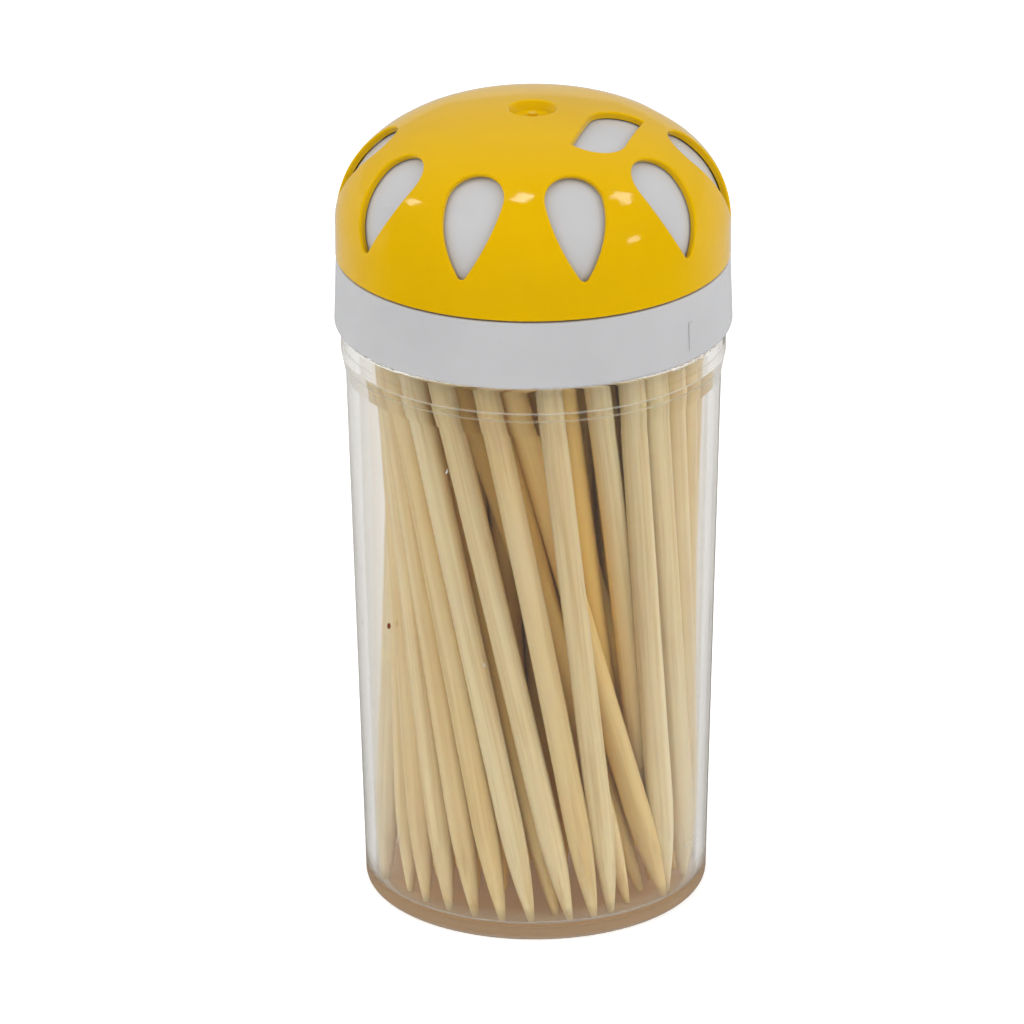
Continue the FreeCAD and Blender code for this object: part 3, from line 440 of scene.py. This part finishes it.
def loose_solids(mesh):
    """The points of each separate solid in a mesh, as arrays."""
    points = np.array([vertex.co for vertex in mesh.vertices])
    _, merged = np.unique(np.round(points * 1e6).astype(int), axis=0, return_inverse=True)
    merged = merged.reshape(-1)
    leader = np.arange(merged.max() + 1)

    def find(item):
        while leader[item] != item:
            leader[item] = leader[leader[item]]
            item = leader[item]
        return item

    for edge in mesh.edges:
        first, second = (find(merged[vertex]) for vertex in edge.vertices)
        leader[second] = first
    group = np.array([find(item) for item in merged])
    return [points[group == name] for name in np.unique(group)]


def ends_of(points):
    """The middles of the two ends of a long thin solid, the lower end first."""
    middle = points.mean(0)
    axis = np.linalg.svd(points - middle, full_matrices=False)[2][0]
    axis *= np.sign(axis[2])
    along = (points - middle) @ axis
    low, high = (points[np.abs(along - end) < 1e-6].mean(0) for end in (along.min(), along.max()))
    return low, high


class Picks:
    """One node's toothpicks in one mesh, each a little uneven, with tapered ends and blunt cut tips."""

    SIDES = 14
    RADIUS = 1.13 * MM
    TIP = 0.25 * MM
    TAPER = 10.0 * MM
    END_RINGS = np.array([0, 0.12, 0.35, 0.8, 1.5, 2.4, 3.5, 4.8, 6.2, 7.6, 9.0, 10.2, 11.5]) * MM
    BODY_FROM, BODY_RINGS = 13.5 * MM, 26
    LOBES = (0.008, 0.022)
    BOW = (0.02, 0.10)
    WOBBLE = 0.004
    CUT, CUT_ROUGHNESS = 0.2 * MM, 0.05 * MM

    def __init__(self, seed, tone=None, bow=0.0):
        self.random = np.random.default_rng(seed)
        self.own_tone, self.own_bow = tone, bow
        self.points, self.faces, self.grain, self.tone = [], [], [], []

    def radius_at(self, reach):
        """Radius at a distance from the nearer end: a point with a soft shoulder and a blunt tip."""
        share = np.clip(reach / self.TAPER, 0, 1)
        return self.TIP + (self.RADIUS - self.TIP) * np.sin(share ** 0.92 * math.pi / 2) ** 0.95

    def add(self, low, high):
        """Adds a toothpick from one end to the other."""
        random, sides = self.random, self.SIDES
        length = np.linalg.norm(high - low)
        axis = (high - low) / length
        across = np.cross(axis, (0, 1, 0))
        across /= np.linalg.norm(across)
        other = np.cross(axis, across)
        body = np.linspace(self.BODY_FROM, length - self.BODY_FROM, self.BODY_RINGS)
        along = np.concatenate([self.END_RINGS, body, length - self.END_RINGS[::-1]])
        angles = np.arange(sides) * 2 * math.pi / sides
        turn = random.uniform(0, 2 * math.pi, 4)
        lobes = random.uniform(*self.LOBES, 3)
        bow = random.uniform(*self.BOW) * MM
        offset = random.uniform(0, 1, 3)
        tone = random.uniform(0, 1)
        if self.own_tone is not None:
            tone = self.own_tone
        first = len(self.points)
        for reach in along:
            share = reach / length
            near = min(reach, length - reach)
            radius = self.radius_at(near) * random.normal(1, self.WOBBLE)
            ring = radius * (1 - 0.02 + lobes[0] * np.cos(2 * angles + turn[0] + share)
                             + lobes[1] * np.cos(3 * angles + turn[1] - 2 * share)
                             + lobes[2] * np.cos(5 * angles + turn[2] + 3 * share))
            bend = bow * math.sin(math.pi * share)
            middle = low + axis * reach + (across * math.cos(turn[3]) + other * math.sin(turn[3])) * bend
            middle = middle + np.array((self.own_bow * math.sin(math.pi * share), 0, 0))
            rough = random.normal(0, self.CUT_ROUGHNESS, sides) if near < self.CUT else np.zeros(sides)
            for angle, ring_radius, dent in zip(angles, ring, rough):
                right, up = math.cos(angle) * ring_radius, math.sin(angle) * ring_radius
                spot = middle + (across * math.cos(angle) + other * math.sin(angle)) * ring_radius
                self.points.append(spot + axis * abs(dent) * (1 if share < 0.5 else -1))
                self.grain.append((right + offset[0], up + offset[1], reach + offset[2]))
                self.tone.append(tone)
        rings = len(along)
        for ring in range(rings - 1):
            base = first + ring * sides
            for side in range(sides):
                after = (side + 1) % sides
                self.faces.append((base + side, base + after, base + sides + after, base + sides + side))
        self.faces.append(tuple(first + side for side in reversed(range(sides))))
        self.faces.append(tuple(first + (rings - 1) * sides + side for side in range(sides)))

    def finish(self, name, node, material):
        """Makes the mesh, which rides on the cup in the place of its node."""
        mesh = bpy.data.meshes.new(name)
        mesh.from_pydata([tuple(point) for point in self.points], [], self.faces)
        mesh.validate()
        for polygon in mesh.polygons:
            polygon.use_smooth = len(polygon.vertices) == 4
        grain = mesh.attributes.new("grain", "FLOAT_VECTOR", "POINT")
        grain.data.foreach_set("vector", np.array(self.grain, np.float32).ravel())
        tone = mesh.attributes.new("tone", "FLOAT", "POINT")
        tone.data.foreach_set("value", np.array(self.tone, np.float32))
        mesh.materials.append(material)
        piece = bpy.data.objects.new(name, mesh)
        scene.collection.objects.link(piece)
        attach(piece, "cup")
        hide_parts(node)


# By the number of the toothpick: how deep in colour those along the front are, partly their own tone and
# partly painted shade, as the ones that lay in shade got deeper values, and how far the bent ones bow towards
# +X, in mm. The others draw their tone.
TONES_AND_SHADE = {4: 0.35, 5: 0.45, 6: 0.25, 7: 0.45, 8: 0.55, 9: 0.08, 10: 0.7, 11: 0.2, 12: 0.5, 13: 0.6, 14: 0.15,
         15: 0.4, 16: 0.7, 17: 1.0, 18: 0.8, 19: 0.1, 20: 0.0, 21: 0.15, 22: 0.55, 23: 0.9, 24: 0.9, 25: 0.9}
BOWS = {12: 0.35, 19: 0.45}
FIRST_SEED = 100


def by_node(values):
    """Values by the number of a toothpick, as values by the name of its node."""
    return {f"toothpick_{number:02d}": value for number, value in values.items()}


def make_toothpicks(material):
    tones_and_shade, bows = by_node(TONES_AND_SHADE), by_node(BOWS)
    for number, node in enumerate(sorted(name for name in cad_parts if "toothpick" in name)):
        # The front toothpicks' listed tones hold painted shade as well as their own tone.
        picks = Picks(FIRST_SEED + number, tones_and_shade.get(node), bows.get(node, 0) * MM)
        for points in loose_solids(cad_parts[node].data):
            picks.add(*ends_of(points))
        picks.finish(node + "_wood", node, material)


make_camera()
make_world()
make_floor()
for name, lamp in SOFT_LAMPS.items():
    make_lamp(name, *lamp, distance=SOFT_AWAY, mirrored=False)
for name, lamp in BOX_LAMPS.items():
    make_lamp(name, *lamp, distance=BOX_AWAY, mirrored=True)
make_toothpicks(wood_material())
dress("clear_cup", clear_material())
dress("white_cap", moulded_material(*CAP_PLASTIC))
dress("yellow_shell", moulded_material(*SHELL_PLASTIC))
